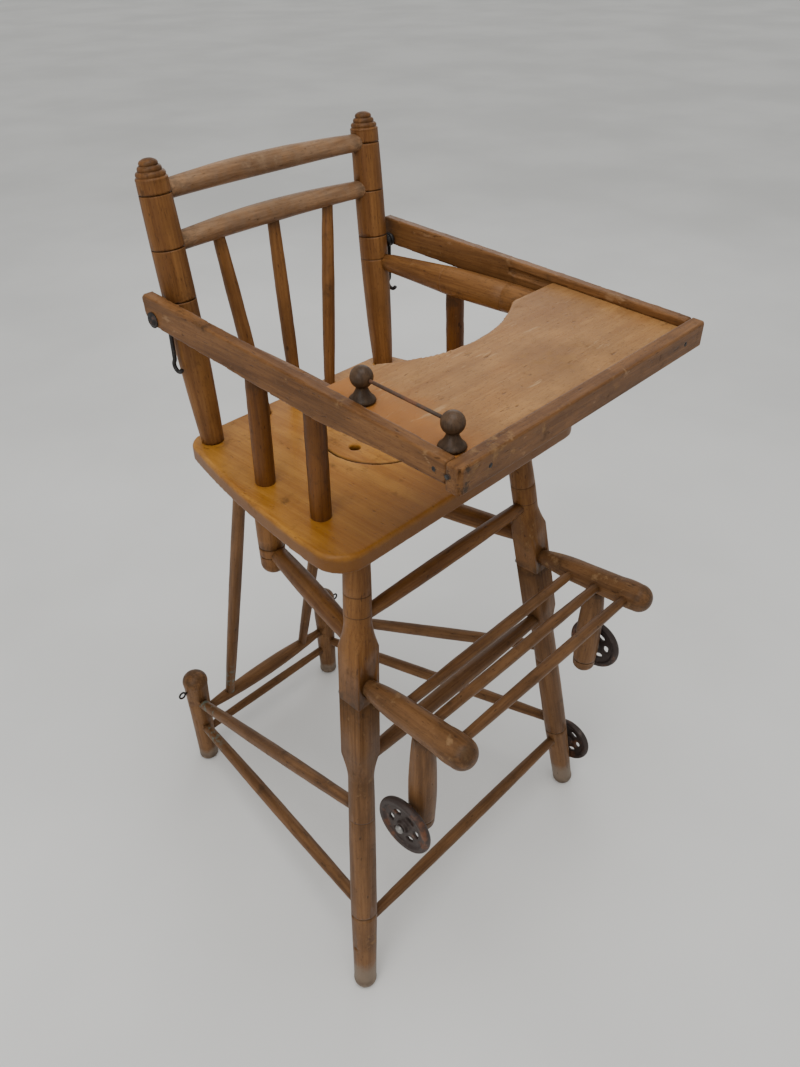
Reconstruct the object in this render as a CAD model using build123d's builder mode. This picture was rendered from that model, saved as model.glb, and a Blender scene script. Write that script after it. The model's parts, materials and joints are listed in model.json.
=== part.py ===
"""Turned-wood convertible baby high chair, millimetres, +Z up, chair facing -Y.

The origin is on the floor under the middle of the chair. Left is the child's left, +X.
The lower frame folds up behind the seat about leaf hinges in the split front legs, and
the chair then rolls on its cast wheels.
"""

from build123d import *
from math import cos, radians
import os

os.makedirs("parts", exist_ok=True)

SIDES = {"left": 1, "right": -1}

# --- driving dimensions -------------------------------------------------------------
SEAT_TOP = 656.0
SEAT_THICK = 20.0
SEAT_BOTTOM = SEAT_TOP - SEAT_THICK
SEAT_FRONT_Y = -148.0
SEAT_REAR_Y = 144.0
SEAT_HALF_FRONT = 199.0
SEAT_HALF_MIDDLE = 186.0
SEAT_HALF_REAR = 154.0
SEAT_FRONT_CORNER = 34.0
SEAT_REAR_CORNER = 23.0
SEAT_BEVEL = 8.0

LID_CENTRE = (0.0, -4.0)
LID_RADIUS = 64.0
LID_KERF = 1.0
FINGER_HOLE = (-39.0, -6.0)
FINGER_RADIUS = 6.2

LEG_HEAD = (131.0, -100.4, SEAT_BOTTOM)
LEG_FOOT = (223.0, -181.4, 0.0)
LEG_BLOCK = 32.0
SPLIT_Z = 442.0
BLOCK_LOW_Z = 360.0
BLOCK_HIGH_Z = 514.0

POST_BASE = (136.0, 121.0, SEAT_TOP)
POST_TIP = (142.0, 152.0, 950.0)

REAR_POST = (134.0, 273.0)
REAR_POST_HEIGHT = 183.0
BAR_Z = 99.0
ROD_Z = 55.5

HINGE_OFFSET = 3.8
HINGE_Y = -109.4 + HINGE_OFFSET
HINGE_Z = SPLIT_Z

ARM_Z = 786.0
TRAY_PIVOT = (131.0, 807.0)
TRAY_FRONT_Y = -275.0
TRAY_FRONT_Z = 808.6
TRAY_SLOPE = 0.0522
TRAY_HALF_FRONT = 186.0
TRAY_HALF_REAR = 177.0
RAIL_REAR_Y = 147.0
RAIL_THICK = 12.0
RAIL_HEIGHT = 30.0
FRONT_RAIL_DEPTH = 15.0
BOARD_THICK = 6.0
BOARD_BELOW_RAIL = 9.0

WHEEL_RADIUS = 36.0
AXLE_RADIUS = 2.5
RUNNING_CLEARANCE = 0.05
FRONT_WHEEL_X = 187.5
FRONT_WHEEL_YZ = {"left": (-215.0, 340.0), "right": (-219.0, 332.0)}
REAR_WHEEL_Z = 72.0

TENON_DEPTH = 14.0
SCORE_WIDTH = 0.9


# --- shape helpers ------------------------------------------------------------------
def finish(piece, name):
    """Label a finished piece and write its STEP file."""
    piece.label = name
    export_step(piece, f"parts/{name}.step")


def mirrored(point, side):
    """A point given for the left of the chair, on the side asked for."""
    return (point[0] * side, point[1], point[2])


def along(start, end, distance):
    """The point that lies a distance from start, on the way to end."""
    first = Vector(*start)
    return first + (Vector(*end) - first).normalized() * distance


def on_line(start, end, z):
    """The point at height z on the line through start and end."""
    first, last = Vector(*start), Vector(*end)
    return first + (last - first) * ((z - first.Z) / (last.Z - first.Z))


def axis_plane(foot, head):
    """A plane through a turning's axis: local X is the radius, local Y runs up the axis."""
    base = Vector(*foot)
    up = (Vector(*head) - base).normalized()
    helper = Vector(0, 1, 0) if abs(up.Y) < 0.9 else Vector(1, 0, 0)
    out = up.cross(helper).normalized()
    return Plane(origin=base, x_dir=out, z_dir=out.cross(up))


def turned(foot, head, outline):
    """A turned piece. The outline lists (radius, station) corners from foot to head.

    A four-number entry is an arc: through its first pair, to its second pair.
    """
    plane = axis_plane(foot, head)
    first, last = outline[0], outline[-1]
    with BuildPart() as piece:
        with BuildSketch(plane):
            with BuildLine():
                here = (0, first[-1])
                for entry in [first[-2:]] + list(outline[1:]) + [(0, last[-1])]:
                    if len(entry) == 4:
                        ThreePointArc(here, entry[:2], entry[2:])
                    else:
                        Line(here, entry)
                    here = entry[-2:]
                Line(here, (0, first[-1]))
            make_face()
        revolve(axis=Axis(plane.origin, plane.y_dir))
    return piece.part


def rod(start, end, end_radius, middle_radius):
    """A long turned rod that is thickest half way along."""
    length = (Vector(*end) - Vector(*start)).length
    arc = (middle_radius, length / 2, end_radius, length)
    return turned(start, end, [(end_radius, 0), arc])


def scored(piece, foot, head, marks):
    """Cut thin score lines into a turning, each given as (radius, station)."""
    plane = axis_plane(foot, head)
    with BuildPart() as cut:
        add(piece)
        for radius, station in marks:
            with BuildSketch(plane):
                with Locations((radius, station)):
                    Rectangle(SCORE_WIDTH, SCORE_WIDTH, rotation=45)
            revolve(axis=Axis(plane.origin, plane.y_dir), mode=Mode.SUBTRACT)
    return cut.part


def socketed(host, *tenoned):
    """The host piece with a socket cut for each piece that is driven into it."""
    with BuildPart() as cut:
        add(host)
        for piece in tenoned:
            add(piece, mode=Mode.SUBTRACT)
    return cut.part


# --- front legs: turned ends with a square block that is sawn through ----------------
def leg_point(z, side=1):
    """The point of a front leg's axis at height z."""
    return on_line(mirrored(LEG_FOOT, side), mirrored(LEG_HEAD, side), z)


LEG_STRETCH = (Vector(*LEG_HEAD) - Vector(*LEG_FOOT)).length / LEG_HEAD[2]


def leg_station(z):
    """Distance along the leg's axis from the floor to height z."""
    return z * LEG_STRETCH


def whole_front_leg(side):
    """One front leg before it is sawn in two."""
    foot, head = leg_point(0, side), leg_point(SEAT_BOTTOM, side)
    block = LEG_BLOCK * 0.76
    outline = [
        (9.0, leg_station(-2)),
        (13.2, leg_station(2.5), 14.4, leg_station(12)),
        (16.2, leg_station(118)),
        (16.2, leg_station(200), 15.0, leg_station(334)),
        (17.5, leg_station(352), block, leg_station(BLOCK_LOW_Z + 14)),
        (block, leg_station(BLOCK_HIGH_Z - 14)),
        (17.5, leg_station(BLOCK_HIGH_Z + 6), 15.0, leg_station(BLOCK_HIGH_Z + 20)),
        (14.8, leg_station(590), 12.8, leg_station(SEAT_BOTTOM)),
        (10.5, leg_station(SEAT_BOTTOM)),
        (10.5, leg_station(SEAT_BOTTOM + TENON_DEPTH)),
    ]
    blank = turned(foot, head, outline)
    marks = [(16.2, leg_station(124)), (16.0, leg_station(275))]
    marks += [(15.6, leg_station(546)), (15.3, leg_station(570))]
    blank = scored(blank, foot, head, marks)
    up = (head - foot).normalized()
    section = Plane(origin=foot, x_dir=(1, 0, 0), z_dir=up)
    with BuildPart() as leg:
        add(blank)
        with BuildSketch(section.offset(-30)):
            RectangleRounded(LEG_BLOCK, LEG_BLOCK, 1.5)
        extrude(amount=leg_station(SEAT_TOP) + 60, mode=Mode.INTERSECT)
        split(bisect_by=Plane.XY, keep=Keep.TOP)
    return leg.part


def sawn(piece, keep):
    """One half of a leg, above or below the saw cut."""
    with BuildPart() as half:
        add(piece)
        split(bisect_by=Plane.XY.offset(SPLIT_Z), keep=keep)
    return half.part


whole_legs = {name: whole_front_leg(side) for name, side in SIDES.items()}
upper_legs = {name: sawn(leg, Keep.TOP) for name, leg in whole_legs.items()}
lower_legs = {name: sawn(leg, Keep.BOTTOM) for name, leg in whole_legs.items()}


def between_legs(z, end_radius, middle_radius):
    """A cross stretcher from one front leg to the other."""
    left, right = leg_point(z, 1), leg_point(z, -1)
    return rod(along(right, left, 6), along(left, right, 6), end_radius, middle_radius)


upper_front_stretcher = between_legs(538, 7.5, 9.5)
lower_cross_bar = between_legs(354, 8.0, 10.5)
lower_front_stretcher = between_legs(103, 6.5, 8.5)

# --- short rear legs and the stretchers under the seat -------------------------------
STUB = (95.0, 90.0)
STUB_LOW = 465.0
STUB_STRETCHER_Z = 492.0
LEG_STRETCHER_Z = {"left": 483.0, "right": 503.0}


def rear_stub(side):
    """A short rear leg with a rounded end, plugged into the seat."""
    foot = (STUB[0] * side, STUB[1], STUB_LOW)
    head = (STUB[0] * side, STUB[1], SEAT_BOTTOM)
    length = SEAT_BOTTOM - STUB_LOW
    outline = [
        (0.5, 0),
        (11.5, 3.5, 15.5, 15),
        (16.8, 70, 14.0, length),
        (11.0, length),
        (11.0, length + TENON_DEPTH),
    ]
    return scored(turned(foot, head, outline), foot, head, [(15.8, 27), (16.0, 40)])


rear_stubs = {name: rear_stub(side) for name, side in SIDES.items()}


def upper_side_stretcher(name):
    """The stretcher from a front leg's block back to the short rear leg."""
    side = SIDES[name]
    front = leg_point(LEG_STRETCHER_Z[name], side)
    rear = (STUB[0] * side, STUB[1], STUB_STRETCHER_Z)
    return rod(along(front, rear, 9), along(rear, front, 5), 7.0, 9.0)


upper_side_stretchers = {name: upper_side_stretcher(name) for name in SIDES}

# --- footrest ------------------------------------------------------------------------
ARM_ROOT_Z = 462.0
FOOTREST_END = (164.0, -272.0)
FOOTREST_END_Z = {"left": 467.0, "right": 473.5}
FOOTREST_ROD_Y = (-186.0, -224.0, -262.0)
WHEEL_LEG_Y = {"left": -217.0, "right": -221.0}
WHEEL_LEG_LOW = {"left": 317.0, "right": 309.0}


def footrest_axis(side):
    """Root and front end of a footrest arm's axis."""
    end_z = FOOTREST_END_Z["left" if side > 0 else "right"]
    return leg_point(ARM_ROOT_Z, side), Vector(*mirrored((*FOOTREST_END, end_z), side))


def footrest_point(y, side):
    """The point of a footrest arm's axis at a given y."""
    root, end = footrest_axis(side)
    return root + (end - root) * ((y - root.Y) / (end.Y - root.Y))


def footrest_arm(side):
    """A club-shaped arm with a ball end, driven into the leg block."""
    root, end = footrest_axis(side)
    start = root + (end - root).normalized() * 6
    length = (end - start).length
    outline = [
        (9.5, 0),
        (9.5, 12),
        (13.8, 40, 15.2, 70),
        (16.4, length - 24),
        (17.6, length - 10, 17.0, length),
        (14.0, length + 11, 0.8, length + 17.5),
    ]
    return turned(start, end, outline)


footrest_arms = {name: footrest_arm(side) for name, side in SIDES.items()}


def footrest_rod(y, end_radius, middle_radius):
    """One rod of the footrest, from arm to arm."""
    left, right = footrest_point(y, 1), footrest_point(y, -1)
    return rod(along(right, left, 6), along(left, right, 6), end_radius, middle_radius)


footrest_bars = [footrest_rod(y, 5.5, 7.0) for y in FOOTREST_ROD_Y]


def wheel_leg(name):
    """The short turned leg that hangs from a footrest arm and carries a wheel."""
    y, low = WHEEL_LEG_Y[name], WHEEL_LEG_LOW[name]
    head = footrest_point(y, SIDES[name])
    foot = Vector(head.X, y, low)
    length = head.Z - low
    outline = [
        (0.5, 0),
        (10.5, 2.5, 14.0, 9),
        (15.6, 60, 11.5, length - 14),
        (8.0, length - 14),
        (8.0, length - 9),
    ]
    return scored(turned(foot, head, outline), foot, head, [(14.5, 18)])


wheel_legs = {name: wheel_leg(name) for name in SIDES}

# --- lower frame ---------------------------------------------------------------------
LEVELS = ("upper", "lower")
STRETCHER_LEG_Z = {
    ("upper", "left"): 292.0,
    ("upper", "right"): 284.0,
    ("lower", "left"): 138.0,
    ("lower", "right"): 130.0,
}
STRETCHER_POST_Z = {"upper": 122.0, "lower": 71.0}


def rear_foot_post(side):
    """A rear foot: thick and domed at the top, slimmer where it stands."""
    foot = (REAR_POST[0] * side, REAR_POST[1], 0)
    head = (REAR_POST[0] * side, REAR_POST[1], REAR_POST_HEIGHT)
    outline = [
        (11.5, 0),
        (13.8, 2, 14.4, 7),
        (15.6, 70, 18.2, REAR_POST_HEIGHT - 20),
        (16.0, REAR_POST_HEIGHT - 6, 0.8, REAR_POST_HEIGHT),
    ]
    return turned(foot, head, outline)


rear_foot_posts = {name: rear_foot_post(side) for name, side in SIDES.items()}


def side_stretcher(level, name):
    """A stretcher from a lower front leg back to the rear foot post."""
    side = SIDES[name]
    front = leg_point(STRETCHER_LEG_Z[(level, name)], side)
    rear = (REAR_POST[0] * side, REAR_POST[1], STRETCHER_POST_Z[level])
    return rod(along(front, rear, 6), along(rear, front, 6), 6.2, 8.4)


side_stretchers = {
    (level, name): side_stretcher(level, name) for level in LEVELS for name in SIDES
}

rear_inset = REAR_POST[0] - 5
rear_rod = rod((-rear_inset, REAR_POST[1], ROD_Z), (rear_inset, REAR_POST[1], ROD_Z), 5.8, 7.0)

# --- prop frame: rear bar, two props and the bar that nests under the seat -----------
PROP_X = 78.0
BAR_TENON = 6.5
TOP_BAR_RADIUS = 8.5
NEST_GAP = 0.6
bevel_middle = (SEAT_REAR_Y - SEAT_BEVEL / 2, SEAT_BOTTOM + SEAT_BEVEL / 2)
NEST_SHIFT = (TOP_BAR_RADIUS + NEST_GAP) * cos(radians(45))
TOP_BAR_Y = bevel_middle[0] + NEST_SHIFT
TOP_BAR_Z = bevel_middle[1] - NEST_SHIFT


def rear_bar():
    """The swelled bar whose thin ends turn in the rear foot posts."""
    reach = REAR_POST[0] - 5
    shoulder = REAR_POST[0] - 19
    outline = [
        (BAR_TENON, 0),
        (BAR_TENON, reach - shoulder + 4),
        (12.2, reach, BAR_TENON, reach + shoulder - 4),
        (BAR_TENON, 2 * reach),
    ]
    return turned((-reach, REAR_POST[1], BAR_Z), (reach, REAR_POST[1], BAR_Z), outline)


def top_bar():
    """The plain bar across the tops of the props."""
    reach = PROP_X + 14
    start = (-reach, TOP_BAR_Y, TOP_BAR_Z)
    end = (reach, TOP_BAR_Y, TOP_BAR_Z)
    outline = [(6.5, 0), (TOP_BAR_RADIUS, 2), (TOP_BAR_RADIUS, 2 * reach - 2), (6.5, 2 * reach)]
    return turned(start, end, outline)


def prop(side):
    """A long prop from the rear bar up to the top bar."""
    foot = (PROP_X * side, REAR_POST[1], BAR_Z)
    head = (PROP_X * side, TOP_BAR_Y, TOP_BAR_Z)
    return rod(along(foot, head, 4), along(head, foot, 3.5), 6.2, 8.0)


props = {name: prop(side) for name, side in SIDES.items()}
prop_rear_bar = socketed(rear_bar(), *props.values())
prop_top_bar = socketed(top_bar(), *props.values())


# --- back ----------------------------------------------------------------------------
def back_post(side):
    """A back post with a swelled shaft and a stepped finial of three rings."""
    foot = mirrored(POST_BASE, side)
    tip = mirrored(POST_TIP, side)
    length = (Vector(*tip) - Vector(*foot)).length
    shoulder = length - 16
    outline = [
        (9.0, -TENON_DEPTH),
        (9.0, 0),
        (12.4, 0),
        (16.2, length * 0.3, 16.9, length * 0.52),
        (16.9, length * 0.62, 15.7, shoulder - 3),
        (15.4, shoulder - 0.8, 14.0, shoulder),
        (14.6, shoulder + 2.4, 13.2, shoulder + 4.6),
        (11.4, shoulder + 4.8),
        (11.8, shoulder + 7.0, 10.4, shoulder + 9.4),
        (8.8, shoulder + 9.6),
        (9.2, shoulder + 12.0, 7.0, shoulder + 14.4),
        (4.0, length - 0.3, 0.5, length),
    ]
    post = turned(foot, tip, outline)
    marks = [(16.9, length * 0.455), (16.8, length * 0.545)]
    marks += [(16.4, length * 0.72), (15.9, length * 0.893)]
    return scored(post, foot, tip, marks)


back_posts = {name: back_post(side) for name, side in SIDES.items()}


def back_point(z, side=1):
    """The point of a back post's axis at height z."""
    return on_line(mirrored(POST_BASE, side), mirrored(POST_TIP, side), z)


CREST_BOW = 11.0
CREST_RADII = (9.4, 10.9, 11.6, 10.9, 9.4)
CREST_Z = {"upper": 919.5, "lower": 870.0}


def crest_rail(z):
    """A crest rail bowed to the rear, thinner at its ends."""
    left, right = back_point(z, 1), back_point(z, -1)
    inset = 10
    start = Vector(right.X + inset, right.Y, z)
    end = Vector(left.X - inset, left.Y, z)
    with BuildLine() as bow:
        ThreePointArc(start, (0, left.Y + CREST_BOW, z), end)
    curve = bow.line
    with BuildPart() as rail:
        for index, radius in enumerate(CREST_RADII):
            place = index / (len(CREST_RADII) - 1)
            with BuildSketch(Plane(origin=curve @ place, z_dir=curve % place)):
                Circle(radius)
        loft()
    return rail.part


crest_rails = {name: crest_rail(z) for name, z in CREST_Z.items()}

SPINDLE_FOOT_X = {"left": 45.0, "centre": -6.0, "right": -54.0}
SPINDLE_FOOT_Y = 125.5
SPINDLE_HEAD = {"left": (81.0, 151.0), "centre": (2.5, 155.0), "right": (-75.0, 151.0)}


def back_spindle(name):
    """A spindle from the seat up into the lower crest rail."""
    foot = (SPINDLE_FOOT_X[name], SPINDLE_FOOT_Y, SEAT_TOP - TENON_DEPTH)
    head = (*SPINDLE_HEAD[name], CREST_Z["lower"] - 3)
    length = (Vector(*head) - Vector(*foot)).length
    return turned(foot, head, [(6.0, 0), (7.6, length * 0.42, 5.0, length)])


back_spindles = {name: back_spindle(name) for name in SPINDLE_HEAD}


# --- arms ----------------------------------------------------------------------------
def arm_axis(side):
    """Root and front end of an arm's axis."""
    root = back_point(ARM_Z, side)
    return Vector(root.X + 4 * side, root.Y, ARM_Z), Vector(153.0 * side, -108.0, ARM_Z)


def arm_point(y, side):
    """The point of an arm's axis at a given y."""
    root, end = arm_axis(side)
    return root + (end - root) * ((y - root.Y) / (end.Y - root.Y))


def arm(side):
    """A club-shaped arm: slim at the back post, full at the front."""
    root, end = arm_axis(side)
    start = root + (end - root).normalized() * 8
    length = (end - start).length
    outline = [
        (9.0, 0),
        (9.0, 9),
        (10.4, 16),
        (13.2, 62, 16.0, 104),
        (16.0, 112),
        (16.2, length - 50, 15.2, length - 10),
        (14.6, length - 2, 11.0, length),
    ]
    piece = turned(start, end, outline)
    return scored(piece, start, end, [(15.9, 101), (16.3, 186)])


arms = {name: arm(side) for name, side in SIDES.items()}
ARM_SPINDLE_FEET = {"rear": (152.0, 10.0), "front": (154.5, -78.0)}


def arm_spindle(place, side):
    """A spindle from the seat up into an arm."""
    x, y = ARM_SPINDLE_FEET[place]
    top = arm_point(y, side)
    head = (top.X, y, ARM_Z - 5)
    foot = (x * side, y, SEAT_TOP - TENON_DEPTH)
    length = (Vector(*head) - Vector(*foot)).length
    return turned(foot, head, [(6.4, 0), (7.6, length * 0.5, 6.2, length)])


arm_spindles = {
    name: [arm_spindle(place, side) for place in ARM_SPINDLE_FEET]
    for name, side in SIDES.items()
}


# --- seat and lid --------------------------------------------------------------------
def seat_blank():
    """The seat board with a round opening, a moulded edge and a bevelled rear edge."""
    with BuildPart() as seat:
        with BuildSketch(Plane.XY.offset(SEAT_BOTTOM)) as outline:
            with BuildLine():
                Line((-SEAT_HALF_FRONT, SEAT_FRONT_Y), (SEAT_HALF_FRONT, SEAT_FRONT_Y))
                for side in (1, -1):
                    ThreePointArc(
                        (SEAT_HALF_FRONT * side, SEAT_FRONT_Y),
                        (SEAT_HALF_MIDDLE * side, -8.0),
                        (SEAT_HALF_REAR * side, SEAT_REAR_Y),
                    )
                Line((-SEAT_HALF_REAR, SEAT_REAR_Y), (SEAT_HALF_REAR, SEAT_REAR_Y))
            make_face()
            corners = outline.vertices().sort_by(Axis.Y)
            fillet(corners[:2], SEAT_FRONT_CORNER)
            corners = [v for v in outline.vertices() if abs(v.Y - SEAT_REAR_Y) < 0.1]
            fillet(corners, SEAT_REAR_CORNER)
        extrude(amount=SEAT_THICK)
        fillet(seat.faces().sort_by(Axis.Z)[-1].outer_wire().edges(), 4.0)
        with Locations((LID_CENTRE[0], LID_CENTRE[1], SEAT_BOTTOM)):
            Hole(LID_RADIUS + LID_KERF, depth=4 * SEAT_THICK)
        with BuildSketch(Plane.YZ):
            with BuildLine():
                Polyline(
                    (SEAT_REAR_Y - SEAT_BEVEL, SEAT_BOTTOM),
                    (SEAT_REAR_Y + 1, SEAT_BOTTOM + SEAT_BEVEL + 1),
                    (SEAT_REAR_Y + 1, SEAT_BOTTOM - 1),
                    (SEAT_REAR_Y - SEAT_BEVEL - 1, SEAT_BOTTOM - 1),
                    close=True,
                )
            make_face()
        extrude(amount=SEAT_HALF_FRONT, both=True, mode=Mode.SUBTRACT)
    return seat.part


def seat_lid():
    """The round lid with its finger hole."""
    with BuildPart() as lid:
        with BuildSketch(Plane.XY.offset(SEAT_BOTTOM)):
            with Locations(LID_CENTRE):
                Circle(LID_RADIUS)
            with Locations(FINGER_HOLE):
                Circle(FINGER_RADIUS, mode=Mode.SUBTRACT)
        extrude(amount=SEAT_THICK)
        fillet(lid.faces().sort_by(Axis.Z)[-1].edges(), 0.8)
    return lid.part


CLEAT_Y = 38.0
CLEAT = (172.0, 18.0, 9.0)


def lid_cleats():
    """Two battens under the seat that the lid rests on."""
    with BuildPart() as cleats:
        for shift in (-CLEAT_Y, CLEAT_Y):
            with BuildSketch(Plane.XY.offset(SEAT_BOTTOM)):
                with Locations((LID_CENTRE[0], LID_CENTRE[1] + shift)):
                    Rectangle(CLEAT[0], CLEAT[1])
            extrude(amount=-CLEAT[2])
        chamfer(cleats.edges().group_by(Axis.Z)[0], 1.5)
    return cleats.part


# --- tray ----------------------------------------------------------------------------
def tray_top(y):
    """Height of the tray rails' upper edge at a given y."""
    return TRAY_FRONT_Z + TRAY_SLOPE * (y - TRAY_FRONT_Y)


def tray_outer(y):
    """Distance of a tray rail's outer face from the chair's middle at a given y."""
    share = (y - TRAY_FRONT_Y) / (RAIL_REAR_Y - TRAY_FRONT_Y)
    return TRAY_HALF_FRONT + (TRAY_HALF_REAR - TRAY_HALF_FRONT) * share


GROOVE_DEPTH = 4.0
GROOVE_REAR_Y = -45.0
FRONT_RAIL_REAR_Y = TRAY_FRONT_Y + FRONT_RAIL_DEPTH


def side_profile(points):
    """Points given as (y, depth under the rail's upper edge), as (y, z) on the YZ plane."""
    return [(y, tray_top(y) - depth) for y, depth in points]


def tray_rail(side):
    """A side rail: deep at the rear, tapering to the front, grooved for the board."""
    body = [
        (FRONT_RAIL_REAR_Y, 0),
        (RAIL_REAR_Y - 4, 0),
        (RAIL_REAR_Y, 4),
        (RAIL_REAR_Y - 2, RAIL_HEIGHT - 8),
        (RAIL_REAR_Y - 14, RAIL_HEIGHT),
        (-112, RAIL_HEIGHT + 1),
        (-190, 24),
        (FRONT_RAIL_REAR_Y, 21),
    ]
    upper, lower = BOARD_BELOW_RAIL, BOARD_BELOW_RAIL + BOARD_THICK
    groove = [
        (FRONT_RAIL_REAR_Y - 1, upper),
        (GROOVE_REAR_Y, upper),
        (GROOVE_REAR_Y, lower),
        (FRONT_RAIL_REAR_Y - 1, lower),
    ]
    with BuildPart() as rail:
        with BuildSketch(Plane.YZ):
            with BuildLine():
                Polyline(*side_profile(body), close=True)
            make_face()
        extrude(amount=220 * side)
        with BuildSketch(Plane.XY):
            with BuildLine():
                front, rear = FRONT_RAIL_REAR_Y - 1, RAIL_REAR_Y + 1
                outer = [(tray_outer(front) * side, front), (tray_outer(rear) * side, rear)]
                inner = [(x - RAIL_THICK * side, y) for x, y in reversed(outer)]
                Polyline(*outer, *inner, close=True)
            make_face()
        extrude(amount=1000, mode=Mode.INTERSECT)
        with BuildSketch(Plane.YZ):
            with BuildLine():
                Polyline(*side_profile(groove), close=True)
            make_face()
        groove_bed = tray_outer(GROOVE_REAR_Y) - RAIL_THICK + GROOVE_DEPTH
        extrude(amount=groove_bed * side, mode=Mode.SUBTRACT)
        with Locations(Plane((0, *TRAY_PIVOT), x_dir=(0, 1, 0), z_dir=(side, 0, 0))):
            Hole(BOLT_RADIUS + RUNNING_CLEARANCE, depth=300)
    return rail.part


def tray_front_rail():
    """The rail across the front, which covers the ends of the side rails."""
    half = TRAY_HALF_FRONT + 0.5
    with BuildPart() as rail:
        with BuildSketch(Plane.YZ):
            with BuildLine():
                Polyline(
                    (TRAY_FRONT_Y, TRAY_FRONT_Z),
                    (FRONT_RAIL_REAR_Y, tray_top(FRONT_RAIL_REAR_Y)),
                    (FRONT_RAIL_REAR_Y, tray_top(FRONT_RAIL_REAR_Y) - 25),
                    (TRAY_FRONT_Y, TRAY_FRONT_Z - 25),
                    close=True,
                )
            make_face()
        extrude(amount=half, both=True)
        chamfer(rail.edges().filter_by(Axis.Z).group_by(Axis.Y)[0], 3.0)
        fillet(rail.edges().filter_by(Axis.X).group_by(Axis.Y)[0], 1.5)
    return rail.part


CUT_HALF = 101.0
CUT_DEEP_Y = -133.0
HORN_RADIUS = 9.0
BOARD_REAR_Y = -102.0


def tray_board():
    """The tray board, housed in the rails' grooves, with a curved belly cut-out."""
    edge = [
        (FRONT_RAIL_REAR_Y, BOARD_BELOW_RAIL),
        (BOARD_REAR_Y + 5, BOARD_BELOW_RAIL),
        (BOARD_REAR_Y + 5, BOARD_BELOW_RAIL + BOARD_THICK),
        (FRONT_RAIL_REAR_Y, BOARD_BELOW_RAIL + BOARD_THICK),
    ]
    reach = GROOVE_DEPTH - RAIL_THICK
    front_half = tray_outer(FRONT_RAIL_REAR_Y) + reach - 0.2
    rear_half = tray_outer(BOARD_REAR_Y) + reach - 0.2
    with BuildPart() as board:
        with BuildSketch(Plane.YZ):
            with BuildLine():
                Polyline(*side_profile(edge), close=True)
            make_face()
        extrude(amount=220, both=True)
        with BuildSketch(Plane.XY) as outline:
            with BuildLine():
                Polyline(
                    (-CUT_HALF, BOARD_REAR_Y),
                    (-rear_half, BOARD_REAR_Y),
                    (-front_half, FRONT_RAIL_REAR_Y),
                    (front_half, FRONT_RAIL_REAR_Y),
                    (rear_half, BOARD_REAR_Y),
                    (CUT_HALF, BOARD_REAR_Y),
                )
                ThreePointArc((CUT_HALF, BOARD_REAR_Y), (0, CUT_DEEP_Y), (-CUT_HALF, BOARD_REAR_Y))
            make_face()
            horns = [v for v in outline.vertices() if abs(abs(v.X) - CUT_HALF) < 0.1]
            fillet(horns, HORN_RADIUS)
        extrude(amount=1000, mode=Mode.INTERSECT)
    return board.part


BEAD_X = -156.0
BEAD_Y = (-142.0, -241.0)
BEAD_HEIGHT = 22.0
BALL_RADIUS = 10.0
WIRE_RADIUS = 1.6


def bead_point(y, above):
    """A point over the tray board on the line of the bead posts."""
    return (BEAD_X, y, tray_top(y) - BOARD_BELOW_RAIL + above)


def bead_post(y):
    """A little turned post: bell-shaped foot, neck and ball."""
    outline = [
        (8.0, -1.5),
        (12.0, 1.2),
        (11.2, 3.0),
        (7.0, 8.0, 5.0, BEAD_HEIGHT - 9),
        (5.0, BEAD_HEIGHT - 8.4),
        (BALL_RADIUS, BEAD_HEIGHT, 0.6, BEAD_HEIGHT + BALL_RADIUS - 0.1),
    ]
    return turned(bead_point(y, 0), bead_point(y, 10), outline)


def bead_wire():
    """The bare wire between the two balls."""
    rear, front = (bead_point(y, BEAD_HEIGHT) for y in BEAD_Y)
    length = (Vector(*front) - Vector(*rear)).length
    outline = [(WIRE_RADIUS, 0), (WIRE_RADIUS, length - 10)]
    return turned(along(rear, front, 5), along(front, rear, 5), outline)


# --- metal ---------------------------------------------------------------------------
BOLT_RADIUS = 3.0
BOLT_FOOT_X = 128.0
BOLT_HEAD_RADIUS = 5.4
WASHER_RADIUS = 8.0
INNER_WASHER_X = (154.0, 156.6)
HOOK_WIRE = 2.4
HOOK_REACH = 60.0
HOOK_BEND = 14.0
HOOK_X = 160.8
EYE_RING = 5.0
EYE_WIRE = 1.5
EYE_Z = 155.0
LEAF = (20.0, 24.0, 1.4)
BARREL_RADIUS = 3.2
PIN_RADIUS = 1.5


def tray_bolt(side):
    """A bolt from a back post out through the tray rail, with a washer on each side of the rail."""
    y, z = TRAY_PIVOT
    foot = (BOLT_FOOT_X * side, y, z)
    head = (200.0 * side, y, z)
    near, far = (x - BOLT_FOOT_X for x in INNER_WASHER_X)
    rail = tray_outer(y) - BOLT_FOOT_X
    outline = [
        (BOLT_RADIUS, 0),
        (BOLT_RADIUS, near),
        (WASHER_RADIUS, near),
        (WASHER_RADIUS, far),
        (BOLT_RADIUS, far),
        (BOLT_RADIUS, rail + 0.3),
        (WASHER_RADIUS, rail + 0.3),
        (WASHER_RADIUS, rail + 1.5),
        (BOLT_HEAD_RADIUS, rail + 1.5),
        (4.4, rail + 3.4, 0.5, rail + 4.0),
    ]
    return turned(foot, head, outline)


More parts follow.
